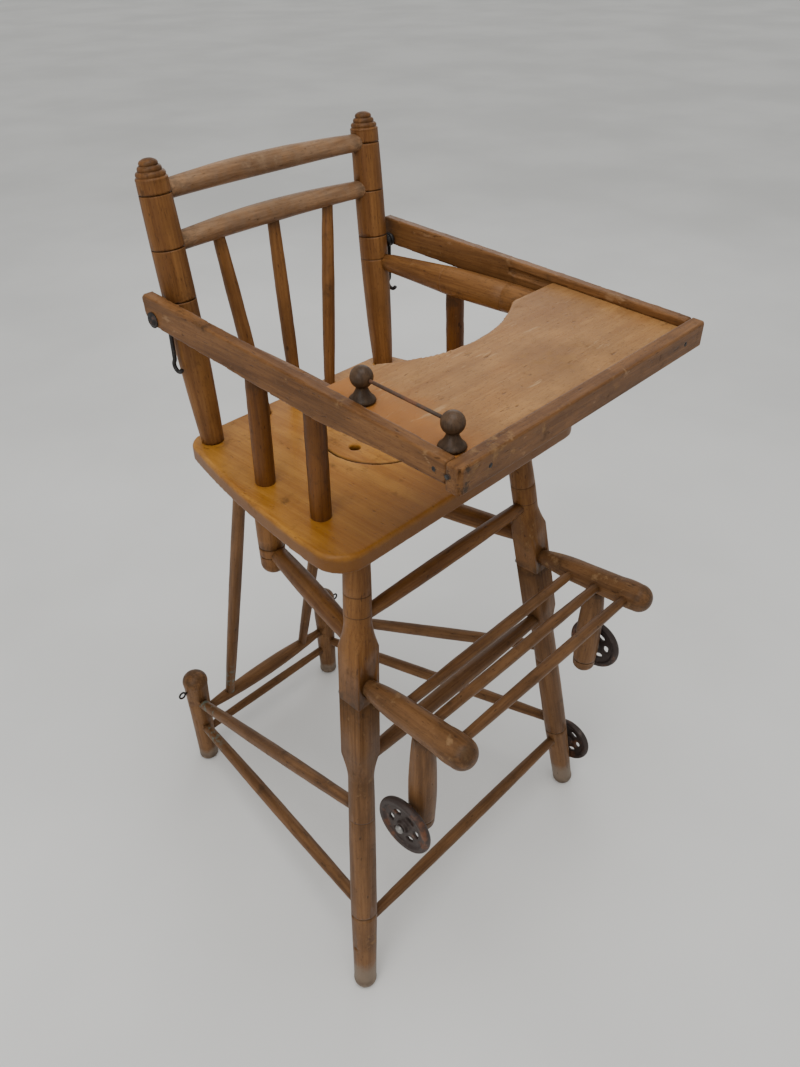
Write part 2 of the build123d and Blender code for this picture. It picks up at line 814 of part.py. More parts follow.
def hook(side):
    """A wire hook: an eye round the tray bolt, a straight shank and an open curl."""
    y, z = TRAY_PIVOT
    ring = BOLT_RADIUS + RUNNING_CLEARANCE + HOOK_WIRE
    plane = Plane(origin=(HOOK_X * side, y, z), x_dir=(0, 1, 0), z_dir=(1, 0, 0))
    with BuildLine(plane) as path:
        shank = Line((0, -ring + 0.3), (0, HOOK_BEND - HOOK_REACH))
        bend = JernArc(shank @ 1, shank % 1, radius=8.0, arc_size=35)
        JernArc(bend @ 1, bend % 1, radius=6.5, arc_size=-190)
    with BuildPart() as piece:
        with BuildSketch(Plane(origin=path.line @ 0, z_dir=path.line % 0)):
            Circle(HOOK_WIRE - 0.2)
        sweep(path=path.line)
        with BuildSketch(Plane.XZ.offset(-y)):
            with Locations((HOOK_X * side, z + ring)):
                Circle(HOOK_WIRE)
        revolve(axis=Axis((0, y, z), (1, 0, 0)))
    return piece.part


def screw_eye(side):
    """A screw eye in the outer side of a rear foot post."""
    post_x, y = REAR_POST
    centre_x = (post_x + 18.2 + 1.0 + EYE_RING + EYE_WIRE) * side
    shank_end = (centre_x - (EYE_RING + 0.3) * side, y, EYE_Z)
    shank_foot = ((post_x + 8) * side, y, EYE_Z)
    shank = turned(shank_foot, shank_end, [(1.6, 0), (1.6, 18.2 - 8 + 1.0 + EYE_WIRE + 0.2)])
    with BuildPart() as eye:
        with BuildSketch(Plane.XY.offset(EYE_Z)):
            with Locations((centre_x + EYE_RING, y)):
                Circle(EYE_WIRE)
        revolve(axis=Axis((centre_x, y, EYE_Z), (0, 1, 0)))
        add(shank)
    return eye.part


def leaf_plane(side):
    """The rear face of a leg block at the saw cut: local X is the chair's X, local Y runs up."""
    axis = (leg_point(SEAT_BOTTOM, side) - leg_point(0, side)).normalized()
    normal = Vector(1, 0, 0).cross(axis).normalized() * -1
    if normal.Y < 0:
        normal = normal * -1
    centre = leg_point(SPLIT_Z, side) + normal * (LEG_BLOCK / 2)
    return Plane(origin=(centre.X, centre.Y, centre.Z), x_dir=(-1, 0, 0), z_dir=normal)


def hinge_half(side, up):
    """One leaf with its share of the knuckles; the lower leaf has the outer two and the pin."""
    plane = leaf_plane(side)
    x = plane.origin.X
    width, height, thick = LEAF
    third = width / 3
    gap = 0.25
    knuckles = [(x - third / 2 + gap, third - 2 * gap)]
    if not up:
        knuckles = [(x - width / 2, third - gap), (x + third / 2 + gap, third - gap)]
    sign = 1 if up else -1
    edge = HINGE_Z + sign * (BARREL_RADIUS + 0.4) - plane.origin.Z
    with BuildPart() as leaf:
        with BuildSketch(plane):
            with Locations((0, edge + sign * height / 2)):
                Rectangle(width, height)
        extrude(amount=thick)
        for start, length in knuckles:
            with BuildSketch(Plane.YZ.offset(start)):
                with Locations((HINGE_Y, HINGE_Z)):
                    Circle(BARREL_RADIUS)
            extrude(amount=length)
            bridge = [
                (HINGE_Y - HINGE_OFFSET - 1.2, HINGE_Z + sign * 0.4),
                (HINGE_Y, HINGE_Z + sign * 0.4),
                (HINGE_Y - 1.6, HINGE_Z + sign * 5),
                (HINGE_Y - HINGE_OFFSET - 1.2, HINGE_Z + sign * 5),
            ]
            with BuildSketch(Plane.YZ.offset(start)):
                with BuildLine():
                    Polyline(*bridge, close=True)
                make_face()
            extrude(amount=length)
        hole = PIN_RADIUS + (RUNNING_CLEARANCE if up else 0)
        with BuildSketch(Plane.YZ.offset(x - width)):
            with Locations((HINGE_Y, HINGE_Z)):
                Circle(hole)
        extrude(amount=2 * width, mode=Mode.SUBTRACT)
    return leaf.part


def hinge_pin(side):
    """The pin through all three knuckles, headed at both ends."""
    x = leaf_plane(side).origin.X
    half = LEAF[0] / 2
    foot = (x - half - 1.2, HINGE_Y, HINGE_Z)
    head = (x + half + 1.2, HINGE_Y, HINGE_Z)
    length = 2 * half + 2.4
    outline = [(2.4, 0), (2.4, 1.2), (PIN_RADIUS, 1.2)]
    outline += [(PIN_RADIUS, length - 1.2), (2.4, length - 1.2), (2.4, length)]
    return turned(foot, head, outline)


def leaf_screws(side, up):
    """Two round-headed screws that hold a leaf to the block."""
    plane = leaf_plane(side)
    height = (LEAF[1] * 0.62 + BARREL_RADIUS * 0.7) * (1 if up else -1)
    screws = []
    for x in (-5.5, 5.5):
        base = plane.from_local_coords(Vector(x, height, -10))
        tip = plane.from_local_coords(Vector(x, height, 10))
        face = 10 + LEAF[2]
        outline = [(0.4, 0), (1.4, 3), (1.4, face), (2.8, face), (2.2, face + 1, 0.4, face + 1.6)]
        screws.append(turned(base, tip, outline))
    return screws


def axle_screw(x, y, z, leg_surface):
    """The screw that a wheel turns on; its head keeps the wheel on."""
    side = 1 if x > 0 else -1
    inner = leg_surface - 11
    face = abs(x) + WHEEL_HUB / 2 + 0.4
    outline = [
        (0.5, 0),
        (AXLE_RADIUS, 4),
        (AXLE_RADIUS, face - inner),
        (5.2, face - inner),
        (5.0, face - inner + 1.6, 0.5, face - inner + 3.0),
    ]
    return turned((inner * side, y, z), ((inner + 40) * side, y, z), outline)


WHEEL_HUB = 14.0
WHEEL_HOLES = 6


def wheel(centre):
    """A cast disc wheel: raised rim, thin web with oval holes, hub."""
    x, y, z = centre
    outline = [
        (AXLE_RADIUS + RUNNING_CLEARANCE, -WHEEL_HUB / 2),
        (7.2, -WHEEL_HUB / 2),
        (8.2, -2.2),
        (27.5, -1.8),
        (29.5, -4.5),
        (33.6, -4.8),
        (WHEEL_RADIUS, 0, 33.6, 4.8),
        (29.5, 4.5),
        (27.5, 1.8),
        (8.2, 2.2),
        (7.2, WHEEL_HUB / 2),
        (AXLE_RADIUS + RUNNING_CLEARANCE, WHEEL_HUB / 2),
    ]
    plane = axis_plane((x, y, z), (x + 10, y, z))
    with BuildPart() as disc:
        with BuildSketch(plane):
            with BuildLine():
                here = outline[-1]
                for entry in outline:
                    if len(entry) == 4:
                        ThreePointArc(here, entry[:2], entry[2:])
                    else:
                        Line(here, entry)
                    here = entry[-2:]
            make_face()
        revolve(axis=Axis((x, y, z), (1, 0, 0)))
        with BuildSketch(Plane.YZ.offset(x - 10)):
            with Locations((y, z)):
                with PolarLocations(17.8, WHEEL_HOLES):
                    SlotOverall(11.0, 6.6, rotation=90)
        extrude(amount=20, mode=Mode.SUBTRACT)
    return disc.part


def nail(x, y, z, direction):
    """A cut nail whose head lies just under the wood's surface."""
    start = Vector(x, y, z)
    end = start + Vector(*direction) * 18
    return turned(start, end, [(2.2, 0), (2.2, 1.2), (1.2, 1.2), (0.5, 18)])


# --- metal pieces in place ------------------------------------------------------------
def leg_surface_x(z):
    """Outer surface of a lower front leg at height z, measured from the middle."""
    return leg_point(z).X + 15.0


rear_wheel_centre = (leg_surface_x(REAR_WHEEL_Z) + 11.5, leg_point(REAR_WHEEL_Z).Y, REAR_WHEEL_Z)
front_axles = {
    name: axle_screw(FRONT_WHEEL_X * side, *FRONT_WHEEL_YZ[name], 176.0)
    for name, side in SIDES.items()
}
rear_axle = axle_screw(*rear_wheel_centre, leg_surface_x(REAR_WHEEL_Z))
tray_bolts = {name: tray_bolt(side) for name, side in SIDES.items()}
screw_eyes = {name: screw_eye(side) for name, side in SIDES.items()}
upper_screws = {name: leaf_screws(side, True) for name, side in SIDES.items()}
lower_screws = {name: leaf_screws(side, False) for name, side in SIDES.items()}
tray_nails = []
for side in SIDES.values():
    tray_nails.append(nail(150.0 * side, TRAY_FRONT_Y, TRAY_FRONT_Z - 12, (0, 1, 0)))
    for y in (-262.0, -248.0):
        outer = tray_outer(y) * side
        if y == -262.0:
            outer = (TRAY_HALF_FRONT + 0.5) * side
        tray_nails.append(nail(outer, y, tray_top(y) - 12, (-side, 0, 0)))

plain_board = tray_board()

# --- fit the pieces together and write them ------------------------------------------
for name, side in SIDES.items():
    finish(
        socketed(
            back_posts[name],
            *crest_rails.values(),
            arms[name],
            tray_bolts[name],
        ),
        f"back_post_{name}",
    )
    finish(socketed(arms[name], *arm_spindles[name]), f"arm_{name}")
    with BuildPart() as pair:
        for piece in arm_spindles[name]:
            add(piece)
    finish(pair.part, f"arm_spindles_{name}")
    finish(socketed(rear_stubs[name], upper_side_stretchers[name]), f"rear_stub_{name}")
    finish(upper_side_stretchers[name], f"upper_side_stretcher_{name}")
    finish(
        socketed(
            upper_legs[name],
            upper_front_stretcher,
            upper_side_stretchers[name],
            footrest_arms[name],
            *upper_screws[name],
        ),
        f"upper_front_leg_{name}",
    )
    lower_fittings = [lower_cross_bar, lower_front_stretcher, *lower_screws[name]]
    lower_fittings += [side_stretchers[(level, name)] for level in LEVELS]
    if name == "left":
        lower_fittings.append(rear_axle)
    lower_leg = socketed(lower_legs[name], *lower_fittings)
    if name == "right":
        with BuildPart() as bored:
            add(lower_leg)
            mouth = Plane(
                origin=(-leg_surface_x(REAR_WHEEL_Z) - 4, rear_wheel_centre[1], REAR_WHEEL_Z),
                x_dir=(0, 1, 0),
                z_dir=(1, 0, 0),
            )
            with BuildSketch(mouth):
                Circle(AXLE_RADIUS)
            extrude(amount=4 + 11, mode=Mode.SUBTRACT)
        lower_leg = bored.part
    finish(lower_leg, f"lower_front_leg_{name}")
    for level in LEVELS:
        finish(side_stretchers[(level, name)], f"side_stretcher_{level}_{name}")
    finish(socketed(footrest_arms[name], *footrest_bars, wheel_legs[name]), f"footrest_arm_{name}")
    finish(socketed(wheel_legs[name], front_axles[name]), f"wheel_leg_{name}")
    finish(props[name], f"prop_{name}")
    finish(hook(side), f"hook_{name}")
    finish(socketed(tray_rail(side), plain_board, *tray_nails), f"tray_rail_{name}")

BAR_SOCKET = BAR_TENON + RUNNING_CLEARANCE
SOCKET_REACH = (40.0, 4.6)
for name, side in SIDES.items():
    with BuildPart() as bored:
        add(rear_foot_posts[name])
        with BuildSketch(Plane.YZ.offset((REAR_POST[0] - SOCKET_REACH[0]) * side)):
            with Locations((REAR_POST[1], BAR_Z)):
                Circle(BAR_SOCKET)
        extrude(amount=(SOCKET_REACH[0] - SOCKET_REACH[1]) * side, mode=Mode.SUBTRACT)
    rods = [side_stretchers[(level, name)] for level in LEVELS]
    finish(socketed(bored.part, *rods, rear_rod, screw_eyes[name]), f"rear_foot_post_{name}")

for name, rail in crest_rails.items():
    fitted = socketed(rail, *back_spindles.values()) if name == "lower" else rail
    finish(fitted, f"crest_rail_{name}")
for name, spindle in back_spindles.items():
    finish(spindle, f"back_spindle_{name}")

seat_tenons = list(upper_legs.values()) + list(rear_stubs.values()) + list(back_posts.values())
seat_tenons += list(back_spindles.values())
for pair in arm_spindles.values():
    seat_tenons += pair
finish(socketed(seat_blank(), *seat_tenons), "seat_board")
finish(seat_lid(), "seat_lid")
finish(lid_cleats(), "lid_cleats")
finish(upper_front_stretcher, "upper_front_stretcher")
finish(lower_cross_bar, "lower_cross_bar")
finish(lower_front_stretcher, "lower_front_stretcher")
finish(rear_rod, "rear_rod")
finish(prop_rear_bar, "prop_rear_bar")
finish(prop_top_bar, "prop_top_bar")


def group(pieces, name):
    """Write like pieces as one node of separate solids."""
    with BuildPart() as together:
        for piece in pieces:
            add(piece)
    finish(together.part, name)


bead_posts = [bead_post(y) for y in BEAD_Y]
wire = bead_wire()
finish(socketed(plain_board, *bead_posts, *tray_nails), "tray_board")
group([socketed(post, wire) for post in bead_posts], "bead_posts")
finish(wire, "bead_wire")
finish(socketed(tray_front_rail(), *tray_nails), "tray_front_rail")
group(tray_nails, "tray_nails")
group(footrest_bars, "footrest_rods")
group(tray_bolts.values(), "tray_bolts")
group(screw_eyes.values(), "screw_eyes")
group(front_axles.values(), "front_axle_screws")
finish(rear_axle, "rear_axle_screw")
upper_leaves = []
lower_leaves = []
for name, side in SIDES.items():
    upper_leaves.append(socketed(hinge_half(side, True), whole_legs[name], *upper_screws[name]))
    lower_leaves.append(socketed(hinge_half(side, False), whole_legs[name], *lower_screws[name]))
group(upper_leaves + [s for pair in upper_screws.values() for s in pair], "upper_hinge_leaves")
pins = [hinge_pin(side) for side in SIDES.values()]
group(lower_leaves + pins + [s for pair in lower_screws.values() for s in pair], "lower_hinge_leaves")
for name, side in SIDES.items():
    finish(wheel((FRONT_WHEEL_X * side, *FRONT_WHEEL_YZ[name])), f"wheel_front_{name}")
finish(wheel(rear_wheel_centre), "wheel_rear_left")
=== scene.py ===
# %% [markdown]
# # An old turned-wood high chair
# The chair was made on a lathe, mostly: posts, legs, arms and rods are round, and only the seat, the
# tray and the square leg blocks are flat. The CAD model gives every piece its place and size. This
# notebook gives each of them its surface: softened edges, wobble from the lathe, grain, varnish and wear.

# %% The fixed frame
import bpy
import bmesh
import json
import math
import numpy as np
from mathutils import Matrix, Vector, noise


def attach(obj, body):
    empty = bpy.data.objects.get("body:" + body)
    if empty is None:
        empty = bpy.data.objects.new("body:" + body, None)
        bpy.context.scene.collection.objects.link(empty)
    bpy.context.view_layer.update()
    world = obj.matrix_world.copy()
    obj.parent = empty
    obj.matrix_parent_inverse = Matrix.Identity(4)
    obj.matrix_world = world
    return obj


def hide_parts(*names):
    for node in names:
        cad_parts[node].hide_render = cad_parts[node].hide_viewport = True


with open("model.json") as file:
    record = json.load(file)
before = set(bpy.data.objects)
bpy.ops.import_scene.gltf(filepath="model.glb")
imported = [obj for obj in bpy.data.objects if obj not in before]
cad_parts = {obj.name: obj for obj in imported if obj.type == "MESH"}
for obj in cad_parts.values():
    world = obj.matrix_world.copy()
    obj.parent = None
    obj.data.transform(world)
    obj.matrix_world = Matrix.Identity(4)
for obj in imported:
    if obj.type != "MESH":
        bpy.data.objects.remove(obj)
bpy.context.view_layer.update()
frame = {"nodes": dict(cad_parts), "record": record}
nodes = frame["nodes"]
body_of = {node: body for body, members in frame["record"]["behaviour"]["bodies"].items() for node in members}
scene = bpy.context.scene
print("pieces in the frame:", len(nodes))

# %% [markdown]
# ## Camera
# The chair is seen from above its right front corner, from about as far away as it is tall, so the seat
# looks large and the feet small. A moderately wide lens from a short distance gives that. The camera's
# three axes come from its azimuth and elevation, which is easier to check than a quaternion.

# %% Camera
AZIMUTH = math.radians(-46.53)
ELEVATION = math.radians(36.29)
ROLL = math.radians(-0.335)
CAMERA_PLACE = Vector((-0.6146, -0.6194, 1.1541))
LENS = 29.78


def aimed(azimuth, elevation, roll):
    """The rotation of a camera that looks level along +Y at azimuth 0."""
    right = Vector((math.cos(azimuth), math.sin(azimuth), 0))
    level_back = Vector((math.sin(azimuth), -math.cos(azimuth), 0))
    back = level_back * math.cos(elevation) + Vector((0, 0, math.sin(elevation)))
    up = back.cross(right)
    turn = Matrix((right, up, back)).transposed()
    return turn @ Matrix.Rotation(roll, 3, "Z")


camera_data = bpy.data.cameras.new("camera")
camera_data.lens = LENS
camera_data.sensor_width = 36
camera_data.clip_start = 0.02
camera = bpy.data.objects.new("camera", camera_data)
camera.matrix_world = Matrix.Translation(CAMERA_PLACE) @ aimed(AZIMUTH, ELEVATION, ROLL).to_4x4()
scene.collection.objects.link(camera)
scene.camera = camera

# %% [markdown]
# ## Studio
# A pale floor and three broad area lights, one of them nearly overhead, are enough. The world is a pale
# grey, so shadows stay open and the varnish has something to reflect.


# %% Studio
def area_light(name, place, target, size, power, colour=(1, 1, 1)):
    """A square area light at a place, turned towards a target."""
    light = bpy.data.lights.new(name, "AREA")
    light.size = size
    light.energy = power
    light.color = colour
    lamp = bpy.data.objects.new(name, light)
    lamp.location = place
    lamp.rotation_euler = (Vector(target) - Vector(place)).to_track_quat("-Z", "Y").to_euler()
    scene.collection.objects.link(lamp)


MIDDLE = (0, 0, 0.55)
area_light("overhead", (-0.3, -0.4, 2.7), MIDDLE, 1.6, 25, (1.0, 0.985, 0.96))
area_light("window", (-2.2, -0.6, 1.9), MIDDLE, 1.5, 19, (1.0, 0.99, 0.97))
area_light("far_side", (2.0, 1.6, 1.6), MIDDLE, 1.4, 7)

world = bpy.data.worlds.new("studio")
world.use_nodes = True
world.node_tree.nodes["Background"].inputs["Color"].default_value = (0.82, 0.82, 0.80, 1)
world.node_tree.nodes["Background"].inputs["Strength"].default_value = 0.72
scene.world = world

FLOOR_HALF = 30.0
floor_mesh = bpy.data.meshes.new("floor")
corners = [(x * FLOOR_HALF, y * FLOOR_HALF, -0.0002) for x, y in ((-1, -1), (1, -1), (1, 1), (-1, 1))]
floor_mesh.from_pydata(corners, [], [(0, 1, 2, 3)])
floor = bpy.data.objects.new("floor", floor_mesh)
scene.collection.objects.link(floor)

# %% [markdown]
# ## Shader maths as Python
# A material is a graph of nodes, and a long formula is hard to read as one. The class below wraps an
# output socket, so `1 - mask * 0.5` adds the Math nodes by itself. `Finish.node` makes every other node.


# %% Shader maths
class Value:
    """An output socket that can stand in a formula."""

    def __init__(self, finish, socket):
        self.finish = finish
        self.socket = socket

    def _math(self, operation, first, second):
        return self.finish.node("ShaderNodeMath", {"operation": operation}, {0: first, 1: second})

    def __add__(self, other):
        return self._math("ADD", self, other)

    def __sub__(self, other):
        return self._math("SUBTRACT", self, other)

    def __rsub__(self, other):
        return self._math("SUBTRACT", other, self)

    def __mul__(self, other):
        return self._math("MULTIPLY", self, other)

    def __abs__(self):
        return self._math("ABSOLUTE", self, 0.0)

    def smaller(self, other):
        return self._math("MINIMUM", self, other)

    __radd__ = __add__
    __rmul__ = __mul__


class Finish:
    """A material under construction."""

    def __init__(self, name):
        self.material = bpy.data.materials.new(name)
        self.material.use_nodes = True
        self.tree = self.material.node_tree
        self.tree.nodes.clear()

    def node(self, kind, settings=None, inputs=None, output=0):
        """Make one node: its settings first, then the values or links of its sockets."""
        made = self.tree.nodes.new(kind)
        for key, value in (settings or {}).items():
            setattr(made, key, value)
        for key, value in (inputs or {}).items():
            if isinstance(value, Value):
                self.tree.links.new(value.socket, made.inputs[key])
            else:
                made.inputs[key].default_value = value
        return Value(self, made.outputs[output]) if made.outputs else None

    def mix(self, factor, first, second, blend="MIX"):
        """Two colours mixed by a factor."""
        settings = {"data_type": "RGBA", "blend_type": blend, "clamp_factor": True}
        both = [colour if isinstance(colour, Value) else (*colour, 1) for colour in (first, second)]
        return self.node("ShaderNodeMix", settings, {0: factor, 6: both[0], 7: both[1]}, 2)

    def noise(self, at, scale, detail=2.0, roughness=0.5):
        """A noise value, about 0.5 on average."""
        inputs = {"Vector": at, "Scale": scale, "Detail": detail, "Roughness": roughness}
        return self.node("ShaderNodeTexNoise", {}, inputs)

    def step(self, value, low, high):
        """0 under low, 1 over high, and a smooth rise between them."""
        settings = {"interpolation_type": "SMOOTHSTEP", "clamp": True}
        return self.node("ShaderNodeMapRange", settings, {0: value, 1: low, 2: high})

    def stretched(self, at, factors):
        """Coordinates multiplied along each axis."""
        return self.node("ShaderNodeVectorMath", {"operation": "MULTIPLY"}, {0: at, 1: factors})

    def object_place(self, start=(0, 0, 0), turn=(0, 0, 0)):
        """Object coordinates, measured from a start and along a turned set of axes."""
        raw = self.node("ShaderNodeTexCoord", {}, {}, "Object")
        inputs = {"Vector": raw, "Location": start, "Rotation": turn}
        return self.node("ShaderNodeMapping", {"vector_type": "TEXTURE"}, inputs)

    def part(self, at, axis):
        """One of a vector's three parts."""
        return self.node("ShaderNodeSeparateXYZ", {}, {0: at}, axis)

    def surface(self, colour, roughness, height, depth, metallic=0.0, coat=0.0, specular=0.5):
        """Join colour, roughness and relief to the surface shader, and give back the material."""
        relief = self.node("ShaderNodeBump", {}, {"Strength": 1.0, "Distance": depth, "Height": height})
        inputs = {
            "Base Color": colour,
            "Roughness": roughness,
            "Metallic": metallic,
            "Coat Weight": coat,
            "Coat Roughness": 0.32,
            "Specular IOR Level": specular,
            "Normal": relief,
        }
        shader = self.node("ShaderNodeBsdfPrincipled", {}, inputs)
        self.node("ShaderNodeOutputMaterial", {}, {"Surface": shader})
        return self.material


# %% [markdown]
# The floor is the first use of it: a pale grey with faint, broad stains, so that it is plain but not a
# flat colour.

# %% Floor finish
floor_finish = Finish("pale_floor")
floor_place = floor_finish.object_place()
floor_stain = floor_finish.noise(floor_place, 1.3, 4)
floor_share = floor_finish.step(floor_stain, 0.3, 0.7)
floor_tone = floor_finish.mix(floor_share, (0.76, 0.76, 0.75), (0.86, 0.86, 0.85))
floor_height = floor_finish.noise(floor_place, 220)
floor_mesh.materials.append(floor_finish.surface(floor_tone, 0.7, floor_height, 0.0001))

# %% [markdown]
# ## Measuring a piece
# The CAD pieces carry no axis with them, but a long piece shows its own: it is the direction in which
# its points spread most. The lathe axis, its two ends and the radius there are all that the finish needs
# to lay the grain along the wood, and all that a plain rod needs to be turned again.


# %% Measuring helpers
SAME_PLACE = 1e-6


def merged(node):
    """A CAD node's loose triangles as one welded shape."""
    shape = bmesh.new()
    shape.from_mesh(nodes[node].data)
    bmesh.ops.remove_doubles(shape, verts=shape.verts, dist=SAME_PLACE)
    return shape


def as_mesh(shape, name):
    """Turn a working shape into a mesh and let go of it."""
    mesh = bpy.data.meshes.new(name)
    shape.to_mesh(mesh)
    shape.free()
    return mesh


def loose_parts(node):
    """The vertex places of each separate solid in a CAD node."""
    shape = merged(node)
    waiting = set(shape.verts)
    parts = []
    while waiting:
        edge_of_part = [waiting.pop()]
        found = list(edge_of_part)
        while edge_of_part:
            vertex = edge_of_part.pop()
            for edge in vertex.link_edges:
                other = edge.other_vert(vertex)
                if other in waiting:
                    waiting.remove(other)
                    edge_of_part.append(other)
                    found.append(other)
        parts.append(np.array([vertex.co[:] for vertex in found]))
    shape.free()
    return sorted(parts, key=lambda places: tuple(places.mean(axis=0).round(4)))


def turning_axis(places):
    """Start, direction and length of the axis that a set of points spreads along."""
    centre = places.mean(axis=0)
    direction = np.linalg.svd(places - centre, full_matrices=False)[2][0]
    direction = direction * (1 if direction[np.argmax(np.abs(direction))] > 0 else -1)
    reach = (places - centre) @ direction
    start = centre + direction * reach.min()
    return Vector(start), Vector(direction), float(reach.max() - reach.min())


def radius_near(places, start, direction, low, high):
    """The largest distance from the axis between two stations."""
    offset = places - np.array(start)
    station = offset @ np.array(direction)
    away = np.linalg.norm(offset - np.outer(station, np.array(direction)), axis=1)
    return float(away[(station >= low) & (station <= high)].max())


def grain_turn(direction):
    """The rotation whose Z axis runs along the grain."""
    return direction.to_track_quat("Z", "Y").to_euler()


# %% [markdown]
# ## The wood
# Every wooden piece has the same history: pale beech, stained, varnished orange-brown, then handled,
# scraped and knocked for decades. One function holds that history and a few numbers say how much of each
# thing a piece has had. The pattern is laid in coordinates whose Z axis is the grain, so a noise that is
# squeezed along Z turns into streaks. Beech also has short dark flecks, which are a second, denser noise
# cut off at a threshold. Rings that were scored on the lathe hold dirt, so they are painted dark by their
# distance along the axis.

# %% Wood finish
TONES = {
    "seat": dict(light=(0.48, 0.220, 0.036), dark=(0.34, 0.130, 0.016), coat=0.22),
    "frame": dict(light=(0.235, 0.105, 0.031), dark=(0.120, 0.046, 0.012), coat=0.10),
    "crest": dict(light=(0.34, 0.195, 0.100), dark=(0.175, 0.088, 0.040), coat=0.05),
    "lower": dict(light=(0.205, 0.100, 0.040), dark=(0.100, 0.044, 0.015), coat=0.10),
    "tray": dict(light=(0.40, 0.205, 0.070), dark=(0.29, 0.132, 0.042), coat=0.05),
    "rail": dict(light=(0.220, 0.100, 0.034), dark=(0.105, 0.042, 0.012), coat=0.10),
    "spindle": dict(light=(0.165, 0.062, 0.013), dark=(0.085, 0.029, 0.006), coat=0.10),
    "bead": dict(light=(0.105, 0.060, 0.032), dark=(0.045, 0.024, 0.012), coat=0.20),
}
GREY_WOOD = (0.21, 0.17, 0.13)
BARE_WOOD = (0.44, 0.275, 0.135)
DIRT = (0.030, 0.017, 0.008)
HISTORY = dict(worn=0.3, dirty=0.35, greyed=0.0, grey_foot=0.0)
STREAKS, FIGURE, FLECKS, KNOCKS = (420, 420, 14), (62, 62, 5), (1500, 1500, 170), (260, 260, 90)
WOOD_RELIEF = 0.00028
WOOD_SHINE = 0.15


def old_wood(name, tone, start, direction, length, rings=(), extra=None, **changes):
    """Stained and varnished beech with its grain along a direction."""
    finish = Finish(name)
    worn, dirty, greyed, grey_foot = {**HISTORY, **changes}.values()
    here = finish.object_place(start, grain_turn(direction))
    everywhere = finish.object_place()
    light, dark = TONES[tone]["light"], TONES[tone]["dark"]
    streaks = finish.noise(finish.stretched(here, STREAKS), 1.0, 3, 0.6)
    figure = finish.noise(finish.stretched(here, FIGURE), 1.0, 3, 0.55)
    flecks = finish.step(finish.noise(finish.stretched(here, FLECKS), 1.0, 1), 0.62, 0.70)
    cloud = finish.noise(everywhere, 17, 4, 0.6)
    fine = finish.noise(everywhere, 90, 5, 0.65)
    colour = finish.mix(finish.step(figure * 0.6 + streaks * 0.4, 0.34, 0.66), dark, light)
    colour = finish.mix(finish.step(cloud, 0.42, 0.72) * 0.45, colour, [c * 0.62 for c in dark])
    colour = finish.mix(flecks * 0.55, colour, [c * 0.45 for c in dark])
    rubbed = finish.step(cloud * 0.5 + fine * 0.5, 0.66 - 0.16 * worn, 0.74 - 0.16 * worn)
    colour = finish.mix(rubbed * (0.10 + 0.42 * worn), colour, BARE_WOOD)
    grimy = finish.step(finish.noise(everywhere, 33, 5, 0.7), 0.62 - 0.12 * dirty, 0.80 - 0.10 * dirty)
    colour = finish.mix(grimy * (0.35 + 0.5 * dirty), colour, DIRT)
    if greyed:
        colour = finish.mix(finish.step(fine, 0.3, 0.7) * greyed, colour, GREY_WOOD)
    station = finish.part(here, "Z")
    if grey_foot:
        above = finish.part(everywhere, "Z") + (fine - 0.5) * 0.02
        bare_foot = 1 - finish.step(above, grey_foot * 0.7, grey_foot * 1.15)
        colour = finish.mix(bare_foot * 0.70, colour, GREY_WOOD)
    height = streaks * 0.5 + fine * 0.35 - flecks * 0.4 - rubbed * 0.25
    knocks = finish.step(finish.noise(finish.stretched(here, KNOCKS), 1.0, 1), 0.70, 0.78)
    colour = finish.mix(knocks * 0.6, colour, [c * 0.35 for c in dark])
    height = height - knocks * 0.8
    for ring in rings:
        groove = 1 - finish.step(abs(station - ring), 0.0001, 0.0008)
        colour = finish.mix(groove * (0.35 + cloud * 0.6), colour, DIRT)
        height = height - groove * 0.6
    ends = 1 - finish.step(station.smaller(length - station), 0.006, 0.022)
    colour = finish.mix(ends * (finish.step(fine, 0.35, 0.6) * 0.55), colour, DIRT)
    if extra:
        colour = extra(finish, everywhere, colour)
    roughness = 0.40 + rubbed * 0.18 + grimy * 0.22 + streaks * 0.10
    coat = (1 - rubbed) * TONES[tone]["coat"]
    return finish.surface(colour, roughness, height, WOOD_RELIEF, coat=coat, specular=WOOD_SHINE)


# %% [markdown]
# ## Plain rods
# The stretchers, spindles, props and footrest rods all follow one rule: a straight rod, thickest half
# way along. That is a job for Geometry Nodes: a line is resampled, its radius follows a parabola along
# it with a little noise for the hand that turned it, and a circle is carried along the line. The ends,
# radii and seed are inputs, so one tree makes them all.


